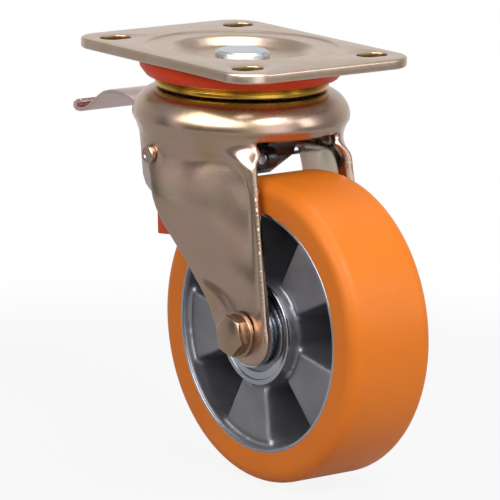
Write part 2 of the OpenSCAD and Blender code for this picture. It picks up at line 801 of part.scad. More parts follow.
module lock_arm() {
    color("#1b1c1e") difference() {
        union() {
            side_extrude(arm_near_y, arm_y + arm_w / 2) {
                polygon([
                    [-pivot_x - 5, pivot_z - 5], [4, arm_low_z], [12.5, arm_low_z],
                    [arm_front_x - 1.5, pivot_z + 0.8], [arm_front_x, pivot_z + 5],
                    [arm_front_x, pivot_z + 8], [15.5, pivot_z + 5], [11, pivot_z + 4.2],
                    [-pivot_x, pivot_z + sleeve_r + 0.6]
                ]);
                at_pivot_flat() circle(r = sleeve_r + 2, $fn = mid);
            }
            side_extrude(-lock_tooth_w / 2, lock_tooth_w / 2) polygon([
                [lock_tooth_x - lock_tooth_l / 2, pivot_z + 6],
                [lock_tooth_x - lock_tooth_l / 2 + 0.6, lock_tooth_z],
                [lock_tooth_x + lock_tooth_l / 2 - 0.6, lock_tooth_z],
                [lock_tooth_x + lock_tooth_l / 2, pivot_z + 6]
            ]);
            at_eye() y_cylinder(eye_r, eye_near_y, eye_root_y);
        }
        at_pivot() y_cylinder(sleeve_r + run_gap, -lever_w, lever_w);
        at_eye() y_cylinder(eye_pin_r, eye_near_y - 1, eye_root_y);
    }
}

module at_eye() {
    translate([eye_x, 0, eye_z]) children();
}

module lock_arm_pin() {
    steel_pale() at_eye() y_cylinder(eye_pin_r - seat_gap, eye_near_y - 0.6, eye_root_y);
}

// Return spring: a hook in the lever's cheek, the turns and a tail behind the leg's rear edge,
// as [angle round the pivot, place along Y, distance along the tangent]
function spring_path() = concat(
    [
        [spring_start_angle, cheek_y - lever_t + 0.3, -spring_hook_l],
        [spring_start_angle, spring_low_y - 1.2, -spring_hook_l],
        [spring_start_angle, spring_low_y, -spring_hook_l + 1.2]
    ],
    [for (k = [0:spring_steps]) let (f = k / spring_steps)
        [spring_start_angle + spring_sweep * f, lerp(spring_low_y, spring_high_y, f), 0]],
    [
        [spring_end_angle, spring_high_y, spring_tail_l - 1.2],
        [spring_end_angle, spring_high_y + 1.2, spring_tail_l],
        [spring_end_angle, boss_out - 2, spring_tail_l]
    ]
);
function spring_point(p) =
    let (a = p[0], q = polar(spring_coil_r, a) + [-sin(a), cos(a)] * p[2])
    [q[0] - pivot_x, p[1], q[1] + pivot_z];
function spring_ring(path, i) =
    let (
        along = spring_point(path[min(len(path) - 1, i + 1)]) - spring_point(path[max(0, i - 1)]),
        out = [cos(path[i][0]), 0, sin(path[i][0])],
        side = cross(out, along) / norm(cross(out, along))
    )
    [for (k = [0:spring_sides - 1])
        let (q = polar(spring_wire / 2, 360 / spring_sides * k))
        spring_point(path[i]) + out * q[0] + side * q[1]];

module return_spring() {
    path = spring_path();
    color("#8f959b") skin([for (i = [0:len(path) - 1]) spring_ring(path, i)]);
}

top_plate();
kingpin();
kingpin_nut();
upper_cup();
dust_seal();
lower_cup();
lock_disc();
fork();
upper_balls();
lower_balls();
axle_bolt();
axle_nut();
axle_washer();
axle_tube();
spacer_rings();
bearing_inner_rings();
distance_sleeve();
pivot_bolt();
pivot_nut();
pivot_sleeve();
brake_lever();
brake_block();
block_rivets();
lock_arm();
lock_arm_pin();
return_spring();
tyre();
wheel_centre();
bearing_outer_rings();
bearing_balls();
bearing_shields();
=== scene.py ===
import bpy
import bmesh
import math
import numpy as np
from mathutils import Euler, Matrix, Vector


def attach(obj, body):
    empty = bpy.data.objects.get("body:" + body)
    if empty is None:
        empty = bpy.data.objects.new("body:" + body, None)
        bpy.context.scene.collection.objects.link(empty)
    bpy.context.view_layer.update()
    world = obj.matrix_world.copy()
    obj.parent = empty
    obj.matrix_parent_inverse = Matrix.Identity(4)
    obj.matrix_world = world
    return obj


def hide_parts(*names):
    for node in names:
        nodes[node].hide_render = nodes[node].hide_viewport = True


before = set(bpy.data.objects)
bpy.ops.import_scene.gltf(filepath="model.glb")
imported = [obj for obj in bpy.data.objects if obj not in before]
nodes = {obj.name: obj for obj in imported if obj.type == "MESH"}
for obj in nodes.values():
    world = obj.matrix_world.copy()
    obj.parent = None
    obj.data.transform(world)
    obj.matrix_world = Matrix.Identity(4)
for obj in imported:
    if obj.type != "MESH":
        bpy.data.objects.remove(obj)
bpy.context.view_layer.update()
mm = 0.001
axlePlace = (46.5, 0.0, -131.8)

cameraView = {
    "azimuth": 51.105, "elevation": 12.101, "roll": 1.414, "distance": 2129.7,
    "sideways": 6.035, "height": -100.12, "lens": 312.2, "sensor": 36.0, "near": 0.05, "far": 30.0,
}


def addPiece(name, data):
    piece = bpy.data.objects.new(name, data)
    bpy.context.scene.collection.objects.link(piece)
    return piece


def addCamera():
    v = cameraView
    az, el, roll = (math.radians(v[key]) for key in ("azimuth", "elevation", "roll"))
    back = Vector((math.sin(az) * math.cos(el), -math.cos(az) * math.cos(el), math.sin(el)))
    right = Vector((math.cos(az), math.sin(az), 0.0))
    up = back.cross(right)
    place = right * v["sideways"] + up * v["height"] + back * v["distance"]
    side = right * math.cos(roll) + up * math.sin(roll)
    top = up * math.cos(roll) - right * math.sin(roll)
    data = bpy.data.cameras.new("camera")
    data.sensor_width = v["sensor"]
    data.lens = v["lens"]
    data.clip_start = v["near"]
    data.clip_end = v["far"]
    camera = addPiece("camera", data)
    turn = Matrix((side, top, back)).transposed().to_4x4()
    camera.matrix_world = Matrix.Translation(place * mm) @ turn
    bpy.context.scene.camera = camera


addCamera()
print("camera placed")

# patch is the scale of the soft colour patches, grain that of the roughness and the bump;
# a look with a gloss takes what it leaves out from paintLook, any other from metalLook
metalLook = {"patch": 22.0, "metallic": 1.0, "detail": 2.0, "firstStop": 0.32}
paintLook = {"patch": 30.0, "coat": 0.0, "detail": 3.0, "firstStop": 0.30}
looks = {
    "passivated": {
        "name": "passivatedSteel", "colours": [(0.40, 0.29, 0.17), (0.46, 0.32, 0.265), (0.39, 0.32, 0.21)],
        "rough": (0.24, 0.30), "grain": 60.0, "bump": 0.0,
    },
    "platePale": {
        "name": "passivatedPlate", "colours": [(0.56, 0.42, 0.28), (0.60, 0.46, 0.38), (0.54, 0.42, 0.27)],
        "rough": (0.29, 0.35), "grain": 300.0, "bump": 0.02, "patch": 30.0,
    },
    "lever": {
        "name": "leverSteel", "colours": [(0.60, 0.50, 0.50), (0.66, 0.50, 0.48), (0.58, 0.52, 0.44)],
        "rough": (0.32, 0.40), "grain": 300.0, "bump": 0.02, "patch": 26.0,
    },
    # the slots' walls: the plate's steel darkened to paint the shade inside the slots
    "slotWall": {
        "name": "slotWall", "colours": [(0.16, 0.095, 0.03), (0.22, 0.14, 0.05)],
        "rough": (0.31, 0.37), "grain": 300.0, "bump": 0.02,
    },
    "cupGold": {
        "name": "goldenCup", "colours": [(0.50, 0.30, 0.05), (0.56, 0.34, 0.06)],
        "rough": (0.21, 0.27), "grain": 300.0, "bump": 0.02,
    },
    "bolt": {
        "name": "boltBrown", "colours": [(0.36, 0.26, 0.16), (0.40, 0.27, 0.22)],
        "rough": (0.23, 0.29), "grain": 300.0, "bump": 0.03, "patch": 60.0,
    },
    "zinc": {
        "name": "blueZinc", "colours": [(0.50, 0.55, 0.62), (0.62, 0.66, 0.71)],
        "rough": (0.21, 0.31), "grain": 900.0, "bump": 0.04,
    },
    "pinHead": {
        "name": "pinZinc", "colours": [(0.54, 0.60, 0.64), (0.62, 0.67, 0.70)],
        "rough": (0.30, 0.42), "grain": 600.0, "bump": 0.08,
    },
    "bearing": {
        "name": "bearingSteel", "colours": [(0.38, 0.39, 0.42), (0.46, 0.47, 0.50)],
        "rough": (0.16, 0.24), "grain": 1200.0, "bump": 0.02,
    },
    "shield": {
        "name": "shieldSteel", "colours": [(0.20, 0.21, 0.23), (0.26, 0.27, 0.30)],
        "rough": (0.27, 0.37), "grain": 800.0, "bump": 0.03,
    },
    "spring": {
        "name": "springSteel", "colours": [(0.22, 0.23, 0.25), (0.30, 0.31, 0.33)],
        "rough": (0.29, 0.39), "grain": 900.0, "bump": 0.03,
    },
    "castAluminium": {
        "name": "castAluminium", "colours": [(0.20, 0.195, 0.215), (0.26, 0.255, 0.28)],
        "rough": (0.40, 0.52), "grain": 420.0, "bump": 0.4, "patch": 40.0, "metallic": 0.8,
    },
    "machined": {
        "name": "machinedRim", "colours": [(0.34, 0.37, 0.43), (0.42, 0.45, 0.50)],
        "rough": (0.18, 0.26), "grain": 900.0, "bump": 0.03,
    },
    "black": {
        "name": "blackPaint", "colours": [(0.008, 0.008, 0.010), (0.016, 0.016, 0.018)],
        "rough": (0.24, 0.36), "grain": 500.0, "bump": 0.10, "gloss": 0.5, "coat": 0.3,
    },
    "seal": {
        "name": "sealRubber", "colours": [(0.78, 0.055, 0.010), (0.84, 0.07, 0.015)],
        "rough": (0.41, 0.51), "grain": 600.0, "bump": 0.05, "gloss": 0.25,
    },
    "brakeRed": {
        "name": "brakeBlock", "colours": [(0.66, 0.07, 0.02), (0.74, 0.09, 0.03)],
        "rough": (0.45, 0.55), "grain": 500.0, "bump": 0.15, "gloss": 0.3,
    },
    "tyre": {
        "name": "tyrePolyurethane", "colours": [(0.84, 0.205, 0.014), (0.88, 0.225, 0.018)],
        "rough": (0.40, 0.48), "grain": 350.0, "bump": 0.03, "gloss": 0.3,
    },
}


def setInputs(node, values):
    for key, value in values.items():
        node.inputs[key].default_value = value


def addNode(tree, kind, values=None, **settings):
    node = tree.nodes.new(kind)
    for key, value in settings.items():
        setattr(node, key, value)
    setInputs(node, values or {})
    return node


def newMaterial(name):
    material = bpy.data.materials.new(name)
    material.use_nodes = True
    tree = material.node_tree
    return material, tree, tree.nodes["Principled BSDF"]


def objectNoise(tree, scale, detail):
    where = addNode(tree, "ShaderNodeTexCoord")
    noise = addNode(tree, "ShaderNodeTexNoise", {"Scale": scale, "Detail": detail})
    tree.links.new(where.outputs["Object"], noise.inputs["Vector"])
    return noise.outputs["Fac"]


def ramp(tree, value, stops):
    node = addNode(tree, "ShaderNodeValToRGB")
    points = node.color_ramp.elements
    while len(points) < len(stops):
        points.new(0.5)
    for point, (at, colour) in zip(points, stops):
        point.position = at
        point.color = (*colour, 1.0)
    tree.links.new(value, node.inputs["Fac"])
    return node.outputs["Color"]


def grey(value):
    return (value, value, value)


def makeFinish(look):
    material, tree, shader = newMaterial(look["name"])
    if "gloss" in look:
        look = {**paintLook, **look}
        setInputs(shader, {"Specular IOR Level": look["gloss"], "Coat Weight": look["coat"], "Coat Roughness": 0.25})
    else:
        look = {**metalLook, **look}
        setInputs(shader, {"Metallic": look["metallic"]})
    colours, first = look["colours"], look["firstStop"]
    stops = [(mix(first, 1 - first, i / (len(colours) - 1)), colour) for i, colour in enumerate(colours)]
    patches = objectNoise(tree, look["patch"], look["detail"])
    tree.links.new(ramp(tree, patches, stops), shader.inputs["Base Color"])
    grain = objectNoise(tree, look["grain"], look["detail"])
    smooth, rough = look["rough"]
    tree.links.new(ramp(tree, grain, [(0.3, grey(smooth)), (0.7, grey(rough))]), shader.inputs["Roughness"])
    if look["bump"] > 0:
        bump = addNode(tree, "ShaderNodeBump", {"Strength": look["bump"], "Distance": 0.2 * mm})
        tree.links.new(grain, bump.inputs["Height"])
        tree.links.new(bump.outputs["Normal"], shader.inputs["Normal"])
    return material


def mix(a, b, t):
    return a + (b - a) * t


def share(value, start, end):
    # 0 at start, 1 at end, straight between them
    return min(1.0, max(0.0, (value - start) / (end - start)))


def fade(value, start, end):
    # 0 at start, 1 at end, soft at both
    part = share(value, start, end)
    return part * part * (3 - 2 * part)


finish = {kind: makeFinish(look) for kind, look in looks.items()}
print("materials made")


def shadeByAngle(piece, smoothAngle):
    piece.data.polygons.foreach_set("use_smooth", [True] * len(piece.data.polygons))
    piece.data.set_sharp_from_angle(angle=math.radians(smoothAngle))
    piece.data.update()


def cleanMesh(piece, smoothAngle):
    work = bmesh.new()
    work.from_mesh(piece.data)
    bmesh.ops.remove_doubles(work, verts=work.verts, dist=0.01 * mm)
    bmesh.ops.recalc_face_normals(work, faces=work.faces)
    work.to_mesh(piece.data)
    work.free()
    shadeByAngle(piece, smoothAngle)


def meshPiece(name, points, faces):
    mesh = bpy.data.meshes.new(name)
    mesh.from_pydata([tuple(float(c) * mm for c in p) for p in points], [], [tuple(f) for f in faces])
    piece = addPiece(name, mesh)
    cleanMesh(piece, 38.0)
    return piece


def triangleCount(piece):
    return sum(len(face.vertices) - 2 for face in piece.data.polygons)


def rounded(corners, steps=4):
    # a closed outline of (x, y, radius), its corners turned into arcs
    out = []
    count = len(corners)
    for i, (x, y, radius) in enumerate(corners):
        here = np.array((x, y), float)
        if radius <= 0:
            out.append(tuple(here))
            continue
        before = np.array(corners[i - 1][:2], float) - here
        after = np.array(corners[(i + 1) % count][:2], float) - here
        lengthA, lengthB = np.linalg.norm(before), np.linalg.norm(after)
        before /= lengthA
        after /= lengthB
        half = math.acos(max(-1.0, min(1.0, float(before @ after)))) / 2
        if half > math.radians(89):
            out.append(tuple(here))
            continue
        reach = min(radius / math.tan(half), lengthA * 0.49, lengthB * 0.49)
        arc = reach * math.tan(half)
        middle = here + (before + after) / np.linalg.norm(before + after) * arc / math.sin(half)
        first, last = here + before * reach - middle, here + after * reach - middle
        angleA, angleB = math.atan2(first[1], first[0]), math.atan2(last[1], last[0])
        sweep = (angleB - angleA + math.pi) % (2 * math.pi) - math.pi
        for k in range(steps + 1):
            a = angleA + sweep * k / steps
            out.append((middle[0] + arc * math.cos(a), middle[1] + arc * math.sin(a)))
    return out


def circlePoints(radius, steps):
    turns = [2 * math.pi * k / steps for k in range(steps)]
    return [(radius * math.cos(a), radius * math.sin(a)) for a in turns]


def turnedMesh(profile, axis="z", centre=(0, 0, 0), steps=160):
    # a closed profile of (radius, height) turned about an axis; radius 0 makes a pole
    points, rows = [], []
    for radius, height in profile:
        row = []
        for x, y in circlePoints(radius, steps)[:1 if radius < 1e-6 else steps]:
            place = (x, y, height) if axis == "z" else (x, height, y)
            row.append(len(points))
            points.append([place[j] + centre[j] for j in range(3)])
        rows.append(row)
    faces = []
    for i, row in enumerate(rows):
        other = rows[(i + 1) % len(rows)]
        if len(row) == 1 and len(other) == 1:
            continue
        for k in range(steps):
            n = (k + 1) % steps
            ring = [row[k % len(row)], row[n % len(row)], other[n % len(other)], other[k % len(other)]]
            face = [v for j, v in enumerate(ring) if v not in ring[:j]]
            if len(face) > 2:
                faces.append(face)
    return points, faces


def turnedPiece(name, profile, axis="z", centre=(0, 0, 0), steps=160):
    return meshPiece(name, *turnedMesh(profile, axis, centre, steps))


def loftMesh(rings):
    count = len(rings[0])
    points = [p for ring in rings for p in ring]
    faces = []
    for r in range(len(rings) - 1):
        for k in range(count):
            n = (k + 1) % count
            faces.append((r * count + k, r * count + n, (r + 1) * count + n, (r + 1) * count + k))
    faces.append(tuple(range(count)))
    faces.append(tuple(range(len(points) - 1, len(points) - 1 - count, -1)))
    return points, faces


def joinMeshes(parts):
    points, faces = [], []
    for morePoints, moreFaces in parts:
        base = len(points)
        points.extend(morePoints)
        faces.extend([tuple(v + base for v in face) for face in moreFaces])
    return points, faces


def applyModifiers(piece, smoothAngle=None):
    graph = bpy.context.evaluated_depsgraph_get()
    mesh = bpy.data.meshes.new_from_object(piece.evaluated_get(graph))
    piece.modifiers.clear()
    piece.data = mesh
    if smoothAngle is not None:
        shadeByAngle(piece, smoothAngle)
    return piece


def makeOneSkin(piece, name, voxel, smoothing):
    # overlapping shells become one skin, its edges softened
    remesh = piece.modifiers.new(name, "REMESH")
    remesh.mode = "VOXEL"
    remesh.voxel_size = voxel * mm
    soften = piece.modifiers.new("soften", "SMOOTH")
    soften.factor = 0.5
    soften.iterations = smoothing
    applyModifiers(piece, 180.0)


softEdges = {"weld": 0.002, "flatAngle": 0.6, "segments": 3, "edgeAngle": 32.0, "smoothAngle": 50.0}


def softenedCopy(name, source, width):
    # the CAD node's own shape with its edges rounded
    piece = addPiece(name, nodes[source].data.copy())
    piece.data.materials.clear()
    work = bmesh.new()
    work.from_mesh(piece.data)
    bmesh.ops.remove_doubles(work, verts=work.verts, dist=softEdges["weld"] * mm)
    flat = math.radians(softEdges["flatAngle"])
    bmesh.ops.dissolve_limit(work, angle_limit=flat, verts=work.verts, edges=work.edges)
    work.to_mesh(piece.data)
    work.free()
    bevel = piece.modifiers.new("edges", "BEVEL")
    bevel.width = width * mm
    bevel.segments = softEdges["segments"]
    bevel.limit_method = "ANGLE"
    bevel.angle_limit = math.radians(softEdges["edgeAngle"])
    bevel.miter_outer = "MITER_ARC"
    return applyModifiers(piece, softEdges["smoothAngle"])


def finishPiece(piece, body, node, slotName, *materials):
    # clearing an empty list would still reset the faces' material numbers
    if piece.data.materials:
        piece.data.materials.clear()
    for material in materials:
        piece.data.materials.append(material)
    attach(piece, body)
    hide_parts(node)
    return piece


def addHardware(body, rows):
    for source, width, slotName, kind in rows:
        finishPiece(softenedCopy(source + "Edges", source, width), body, source, slotName, finish[kind])


def geometryTree(name, inputs):
    # an empty node tree with named inputs; returns the tree, its input and its output node
    tree = bpy.data.node_groups.new(name, "GeometryNodeTree")
    tree.is_modifier = True
    tree.interface.new_socket("Geometry", in_out="INPUT", socket_type="NodeSocketGeometry")
    for label, kind in inputs:
        tree.interface.new_socket(label, in_out="INPUT", socket_type="NodeSocket" + kind)
    tree.interface.new_socket("Geometry", in_out="OUTPUT", socket_type="NodeSocketGeometry")
    return tree, tree.nodes.new("NodeGroupInput"), tree.nodes.new("NodeGroupOutput")


def mathNode(tree, operation, first, second):
    node = addNode(tree, "ShaderNodeMath", operation=operation)
    for socket, value in zip(node.inputs, (first, second)):
        if isinstance(value, (int, float)):
            socket.default_value = value
        else:
            tree.links.new(value, socket)
    return node.outputs[0]


def endTree(tree, start, end, geometry):
    # real geometry with the tree's own material
    real = addNode(tree, "GeometryNodeRealizeInstances")
    tree.links.new(geometry, real.inputs[0])
    paint = addNode(tree, "GeometryNodeSetMaterial")
    tree.links.new(real.outputs[0], paint.inputs["Geometry"])
    tree.links.new(start.outputs["Material"], paint.inputs["Material"])
    tree.links.new(paint.outputs[0], end.inputs[0])
    return tree


def runTree(piece, tree, values):
    # set the named inputs by their identifiers, then turn the result into a plain mesh
    modifier = piece.modifiers.new(tree.name, "NODES")
    modifier.node_group = tree
    for item in tree.interface.items_tree:
        if item.in_out == "INPUT" and item.name in values:
            modifier[item.identifier] = values[item.name]
    return applyModifiers(piece)


def ringOfInstances(tree, shape, count, startAngle, scale=(1.0, 1.0, 1.0), axis="y"):
    # copies of a shape turned about the Y or the Z axis
    spots = addNode(tree, "GeometryNodePoints")
    tree.links.new(count, spots.inputs["Count"])
    step = mathNode(tree, "DIVIDE", 2 * math.pi, count)
    index = addNode(tree, "GeometryNodeInputIndex").outputs[0]
    angle = mathNode(tree, "ADD", mathNode(tree, "MULTIPLY", index, step), startAngle)
    turn = addNode(tree, "ShaderNodeCombineXYZ")
    tree.links.new(mathNode(tree, "MULTIPLY", angle, -1.0), turn.inputs[axis.upper()])
    copies = addNode(tree, "GeometryNodeInstanceOnPoints", {"Scale": scale})
    tree.links.new(spots.outputs[0], copies.inputs["Points"])
    tree.links.new(shape, copies.inputs["Instance"])
    tree.links.new(turn.outputs[0], copies.inputs["Rotation"])
    real = addNode(tree, "GeometryNodeRealizeInstances")
    tree.links.new(copies.outputs[0], real.inputs[0])
    return real.outputs[0]


plate = {
    "length": 140.0, "width": 110.0, "thickness": 5.0, "corner": 16.0, "edge": 1.1,
    "holeX": 52.5, "holeY": 38.75, "slotWidth": 11.0, "slotLength": 16.5, "slotEdge": 0.7,
    "dishFloor": 29.0, "dishWall": 6.0, "dishDepth": 5.0, "dishSoft": 1.5,
    "ringRadius": 47.5, "ringDepth": 0.7, "ringSoft": 1.2, "bore": 8.0,
    # radii of the mesh rings, closer where the ring step and the dish wall bend
    "meshRadii": [50.0, 49.2, 48.6, 48.0, 47.4, 46.8, 46.2, 45.0, 41.0, 38.0]
    + [37.2 - 0.75 * k for k in range(13)] + [26.0, 18.0, 8.0],
}


def plateHeight(radius):
    # how far the upper face lies below 0 at this distance from the kingpin
    p = plate
    ring = p["ringDepth"] * fade(radius, p["ringRadius"] + p["ringSoft"], p["ringRadius"] - p["ringSoft"])
    wallTop = p["dishFloor"] + p["dishWall"] + p["dishSoft"]
    dish = (p["dishDepth"] - p["ringDepth"]) * fade(radius, wallTop, p["dishFloor"] - p["dishSoft"])
    return -(ring + dish)


def plateOutline(inset):
    p = plate
    x, y, radius = p["length"] / 2 - inset, p["width"] / 2 - inset, p["corner"] - inset
    return rounded([(-x, -y, radius), (x, -y, radius), (x, y, radius), (-x, y, radius)], 12)


def slotOutline(x, y, grow, count=48):
    p = plate
    half = (p["slotLength"] - p["slotWidth"]) / 2
    radius = p["slotWidth"] / 2 + grow
    out = []
    for k in range(count):
        a = 2 * math.pi * (k + 0.5) / count
        out.append((x + radius * math.cos(a), y + radius * math.sin(a) + math.copysign(half, math.sin(a))))
    return out


def makePlate():
    p = plate
    work = bmesh.new()

    def addRing(ring, height):
        return [work.verts.new((x * mm, y * mm, height * mm)) for x, y in ring]

    def band(a, b, material=0):
        for k in range(len(a)):
            n = (k + 1) % len(a)
            work.faces.new((a[k], a[n], b[n], b[k])).material_index = material

    def edgeRings(outline, edge, steps):
        # rings down the rounded upper edge and the rounded lower edge of an outline
        turns = [math.pi / 2 * k / steps for k in range(steps + 1)]
        rings = [addRing(outline(edge * (1 - math.sin(a))), edge * (math.cos(a) - 1)) for a in turns]
        low = edge - p["thickness"]
        return rings + [addRing(outline(edge * (1 - math.cos(a))), low - edge * math.sin(a)) for a in turns]

    def fill(outer, holes):
        edges = []
        for loop in [outer] + holes:
            for k in range(len(loop)):
                pair = (loop[k], loop[(k + 1) % len(loop)])
                edges.append(work.edges.get(pair) or work.edges.new(pair))
        bmesh.ops.triangle_fill(work, use_beauty=True, use_dissolve=False, edges=edges)

    rim = edgeRings(plateOutline, p["edge"], 4)
    for a, b in zip(rim, rim[1:]):
        band(a, b)
    topSlots, bottomSlots = [], []
    for sx in (-1, 1):
        for sy in (-1, 1):
            x, y = sx * p["holeX"], sy * p["holeY"]
            slot = edgeRings(lambda grow: slotOutline(x, y, grow), p["slotEdge"], 3)
            # the first two bands belong to the face, the rest is the slot's wall, darkened with painted shade
            for k in range(len(slot) - 1):
                band(slot[k + 1], slot[k], 1 if k > 1 else 0)
            topSlots.append(slot[0])
            bottomSlots.append(slot[-1])
    steps = len(rim[0]) * 2
    sheet = p["ringSoft"]
    upper = [addRing(circlePoints(r, steps), plateHeight(r)) for r in p["meshRadii"]]
    lower = []
    for r in p["meshRadii"]:
        sink = min(0.0, plateHeight(r - sheet) + p["ringDepth"])
        lower.append(addRing(circlePoints(r, steps), sink - p["thickness"]))
    for a, b in zip(upper, upper[1:]):
        band(a, b)
    for a, b in zip(lower, lower[1:]):
        band(b, a)
    band(upper[-1], lower[-1])
    work.verts.index_update()
    fill(rim[0], topSlots + [upper[0]])
    fill(rim[-1], bottomSlots + [lower[0]])
    bmesh.ops.recalc_face_normals(work, faces=work.faces)
    mesh = bpy.data.meshes.new("topPlateSheet")
    work.to_mesh(mesh)
    work.free()
    piece = addPiece("topPlateSheet", mesh)
    shadeByAngle(piece, 30.0)
    return piece


# the second material paints shade on the walls of the slots
finishPiece(makePlate(), "plate", "top_plate", "passivated_steel", finish["platePale"], finish["slotWall"])
print("top plate made")

kingpin = {"seat": -5.0, "headHeight": 3.2, "headRadius": 13.5, "radius": 8.0, "end": -42.6, "endChamfer": 0.8}

cup = {
    "radius": 46.0, "top": -5.0, "shoulder": -14.3, "lip": 40.0, "beadZ": -18.1, "floor": -15.6,
    "bore": 24.5, "ceiling": -10.0, "trackRadius": 38.5, "wallRadius": 43.4, "wallFoot": -8.2,
}

seal = {"inner": 46.1, "outer": 50.6, "top": -5.0, "bottom": -14.0, "coneHeight": 4.0, "coneWidth": 3.2}


def makeKingpin():
    k = kingpin
    top = k["seat"] + k["headHeight"]
    profile = rounded([
        (0.0, top, 0), (k["headRadius"] - 1.6, top, 0.6), (k["headRadius"] - 0.1, top - 0.9, 0.5),
        (k["headRadius"], k["seat"], 0.15), (k["radius"], k["seat"], 0.0),
        (k["radius"], k["end"] + k["endChamfer"], 0.2), (k["radius"] - k["endChamfer"], k["end"], 0.2),
        (0.0, k["end"], 0),
    ])
    return turnedPiece("kingpinHead", profile)


def makeCup():
    # a cone down to a rolled bead, and the ball track inside
    c = cup
    beadOut, beadIn, beadLow = c["lip"] + 3.0, c["lip"] - 2.6, c["beadZ"] - 1.4
    profile = rounded([
        (c["radius"], c["top"], 0.2), (c["radius"], c["shoulder"], 1.6), (c["lip"] + 2.0, c["beadZ"] + 1.5, 0.3),
        (beadOut, c["beadZ"] + 1.2, 0.5), (beadOut, beadLow, 1.2), (beadIn, beadLow, 0.5), (beadIn, c["floor"], 0.4),
        (c["bore"], c["floor"], 0.4), (c["bore"], c["ceiling"], 0.4), (c["trackRadius"], c["ceiling"], 0.4),
        (c["wallRadius"], c["wallFoot"], 0.6), (c["wallRadius"], c["top"], 0.2),
    ], 6)
    return turnedPiece("upperCupShell", profile, steps=200)


def makeSeal():
    s = seal
    profile = rounded([
        (s["inner"], s["top"], 0.2), (s["outer"], s["top"], 0.3), (s["outer"], s["bottom"] + s["coneHeight"], 2.4),
        (s["outer"] - s["coneWidth"], s["bottom"], 0.8), (s["inner"], s["bottom"], 0.2),
    ], 6)
    return turnedPiece("dustSealRing", profile, steps=200)


finishPiece(makeKingpin(), "plate", "kingpin", "zinc_steel", finish["pinHead"])
finishPiece(makeCup(), "plate", "upper_cup", "passivated_steel", finish["cupGold"])
finishPiece(makeSeal(), "plate", "dust_seal", "seal", finish["seal"])
addHardware("plate", (
    ("kingpin_nut", 0.4, "zinc_steel", "zinc"),
    ("lower_cup", 0.3, "bearing_steel", "bearing"),
    ("lock_disc", 0.3, "zinc_steel", "zinc"),
))
print("kingpin, cup and seal made")

fork = {
    "headRadius": 54.0, "shoulder": 13.5, "thickness": 5.0, "headTop": -20.3, "bore": 8.05,
    "creaseRadius": 52.0, "creaseDrop": 2.5, "skirt": 5.2, "skirtWall": 4.4, "gap": 60.0, "edge": 1.3,
    # the leg: half its width at top and end, how it starts, flattens, flares and twists
    "halfTop": 29.5, "legEnd": 21.0, "bulge": 1.5, "bow": 3.2, "trailTop": -8.0, "frontTop": 31.0, "legInset": 0.8,
    "startRise": 0.9, "endRise": 6.2, "flatDrop": 8.0, "flatSpread": (13.0, 3.0), "turnDrop": 6.0,
    "flareX": 12.8, "flareDrop": 18.7, "flareTop": 4.0,
    "twistTop": 66.0, "twistLow": 12.5,
    # how far both edges swell out beyond the straight taper, and between which heights
    "frontReach": 3.5, "frontRise": (-126.0, -53.0), "frontFade": (-38.0, -46.0),
    "rearReach": 4.0, "rearRise": (-58.0, -86.0), "rearFall": (-108.0, -126.0), "rearLeft": 0.15,
    "pivot": (-8.5, -50.5), "bossRadius": 5.4, "bossBore": 4.2, "bossInner": 43.0, "bossNear": 49.4, "bossFar": 51.6,
    "voxel": 0.905, "smoothing": 20, "gridTurn": (0.55, 0.43, 0.62),
}
# the pressed panel of the leg; the widths are soft edges, and each changes between two places
panel = {
    "depth": 2.2, "top": -44.5, "corner": 13.0, "lip": (0.6, 5.0), "margin": 3.0,
    "rearWidths": (36.0, 7.0), "rearChange": (-70.0, -100.0), "topWidths": (18.0, 5.0), "topChange": (0.35, 0.65),
    "crease": -103.5, "creaseSlope": 20.0, "creaseWidths": (8.0, 22.0), "creaseChange": (0.3, 0.55),
    "lowShare": 0.65, "lowChange": (-92.0, -106.0),
}
trail, axleZ = axlePlace[0], axlePlace[2]
shoulderZ = fork["headTop"] - fork["shoulder"]
creaseZ = shoulderZ - fork["creaseDrop"]
skirtZ = shoulderZ - fork["skirt"]
legStartZ = creaseZ + fork["startRise"]
legFlatZ = skirtZ - fork["flatDrop"]
legEndZ = axleZ + fork["endRise"]
flareZ = skirtZ - fork["flareDrop"]
twistTopZ = axleZ + fork["twistTop"]
twistLowZ = axleZ + fork["twistLow"]
legOut = fork["gap"] / 2 + fork["thickness"]
circleRadius = fork["creaseRadius"] - fork["legInset"]


def legMiddle(z):
    return trail * (z - fork["trailTop"]) / (axleZ - fork["trailTop"])


def legHalf(z):
    if z > legEndZ:
        f = (z - flareZ) / (legEndZ - flareZ)
        inside = min(1.0, max(0.0, f))
        return mix(fork["halfTop"], fork["legEnd"], f) + fork["bulge"] * 4 * inside * (1 - inside)
    return math.sqrt(max(1.0, fork["legEnd"] ** 2 - (legEndZ - z) ** 2))


def frontExtra(z):
    return fork["frontReach"] * share(z, *fork["frontRise"]) ** 1.5 * fade(z, *fork["frontFade"])


def rearExtra(z):
    return fork["rearReach"] * fade(z, *fork["rearRise"]) * mix(1.0, fork["rearLeft"], fade(z, *fork["rearFall"]))


def legFlare(z):
    flare = max(0.0, (z - flareZ) / (skirtZ + fork["flareTop"] - flareZ))
    return fork["flareX"] * flare ** 2 + rearExtra(z)


def circleY(x):
    return math.sqrt(max(1.0, circleRadius ** 2 - x * x))


def legTwist(z):
    return fade(z, twistTopZ, twistLowZ)


